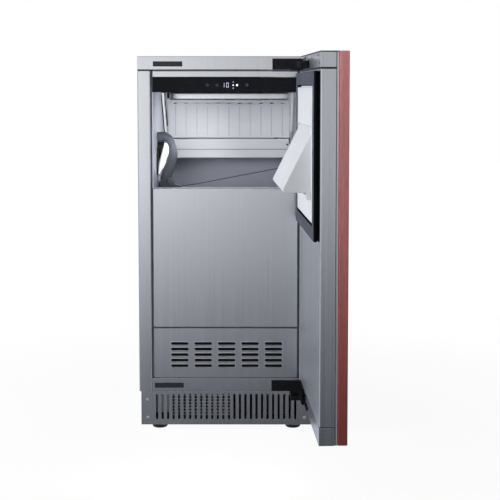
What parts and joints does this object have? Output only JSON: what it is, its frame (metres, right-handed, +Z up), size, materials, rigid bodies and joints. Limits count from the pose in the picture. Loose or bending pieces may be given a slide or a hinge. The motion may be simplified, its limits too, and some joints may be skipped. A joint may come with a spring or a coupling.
{
  "type": "ice maker",
  "caption": "Undercounter clear-ice maker: steel cabinet with an ice bin and module, louvred and slotted air panels, and a hinged wood-panelled door standing open.",
  "frame": {"origin": "on the floor, at the middle of the footprint of the cabinet and its open door", "axes": "+Z up, +Y from the front of the cabinet to its rear, +X to the side of the door's hinge"},
  "size_m": [0.425, 0.943, 0.831],
  "materials": {
    "stainless": "satin, brushed upright",
    "stainless_cap": "satin, brushed",
    "hinge_pin_steel": "polished",
    "galvanised": "matte",
    "black_plastic": "matte",
    "black_paint": "satin",
    "liner": "satin",
    "white_plastic": "satin",
    "scoop_grip": "satin",
    "foam": "matte",
    "gasket": "matte",
    "fascia_glass": "gloss",
    "circuit_board": "matte",
    "copper": "satin",
    "fins": "satin",
    "tubing": "satin",
    "panel_wood": "satin"
  },
  "bodies": {
    "cabinet": {"base_pan": "galvanised", "bin_front_panel": "stainless", "bin_liner": "liner", "bin_thermostat_probe": "copper", "bottom_rail": "stainless", "compressor": "black_paint", "condenser": "fins", "control_board": "circuit_board", "control_fascia": "fascia_glass", "control_housing": "black_plastic", "discharge_line": "copper", "drain_tube": "tubing", "electrical_box": "galvanised", "evaporator_line": "copper", "evaporator_plate": "fins", "fan_motor": "black_paint", "fan_shroud": "black_plastic", "filter_drier": "copper", "header_strip": "stainless", "hinge_hole_cover_bottom": "black_plastic", "hinge_hole_cover_top": "black_plastic", "hinge_pin_bottom": "hinge_pin_steel", "hinge_pin_top": "hinge_pin_steel", "hinge_plate_bottom": "black_paint", "hinge_plate_top": "black_paint", "insulation_foam": "foam", "kick_plate": "stainless", "module_cheek_left": "white_plastic", "module_cheek_right": "white_plastic", "module_cover": "stainless", "power_inlet": "black_plastic", "rear_panel": "galvanised", "scoop_holder": "black_plastic", "side_panel_left": "stainless", "side_panel_right": "stainless", "top_panel": "stainless", "top_rail": "stainless", "vent_panel": "stainless", "water_distributor": "white_plastic", "water_inlet_valve": "white_plastic", "water_pump": "black_plastic", "water_supply_tube": "tubing", "water_trough": "white_plastic"},
    "door": {"door_outer_pan": "stainless", "door_inner_skin": "stainless", "door_foam": "foam", "door_cap_top": "stainless_cap", "door_cap_bottom": "stainless_cap", "wood_panel": "panel_wood", "door_gasket": "gasket", "door_inner_panel": "white_plastic", "ice_deflector": "white_plastic"},
    "ice_curtain": {"ice_curtain": "white_plastic"},
    "fan_wheel": {"fan_wheel": "black_plastic"},
    "ice_scoop": {"ice_scoop": "white_plastic", "scoop_grip": "scoop_grip"},
    "foot_front_left": {"foot_front_left": "black_plastic"},
    "foot_front_right": {"foot_front_right": "black_plastic"},
    "foot_rear_left": {"foot_rear_left": "black_plastic"},
    "foot_rear_right": {"foot_rear_right": "black_plastic"}
  },
  "joints": [
    {"name": "door_hinge", "type": "hinge", "parent": "cabinet", "child": "door", "pos_m": [0.15179, -0.10761, 0.464], "axis": [0, 0, 1], "range_deg": [-93, 22]},
    {"name": "curtain_swing", "type": "hinge", "parent": "cabinet", "child": "ice_curtain", "pos_m": [-0.02346, 0.30869, 0.73], "axis": [-1, 0, 0], "range_deg": [0, 35]},
    {"name": "fan_spin", "type": "hinge", "parent": "cabinet", "child": "fan_wheel", "pos_m": [-0.07347, 0.03249, 0.115], "axis": [0, 1, 0], "continuous": true},
    {"name": "scoop_lift", "type": "slide", "parent": "cabinet", "child": "ice_scoop", "axis": [0, 0, 1], "range_m": [0, 0.028]},
    {"name": "front_left_level", "type": "slide", "parent": "cabinet", "child": "foot_front_left", "axis": [0, 0, -1], "range_m": [0, 0.02]},
    {"name": "front_right_level", "type": "slide", "parent": "cabinet", "child": "foot_front_right", "axis": [0, 0, -1], "range_m": [0, 0.02]},
    {"name": "rear_left_level", "type": "slide", "parent": "cabinet", "child": "foot_rear_left", "axis": [0, 0, -1], "range_m": [0, 0.02]},
    {"name": "rear_right_level", "type": "slide", "parent": "cabinet", "child": "foot_rear_right", "axis": [0, 0, -1], "range_m": [0, 0.02]}
  ]
}
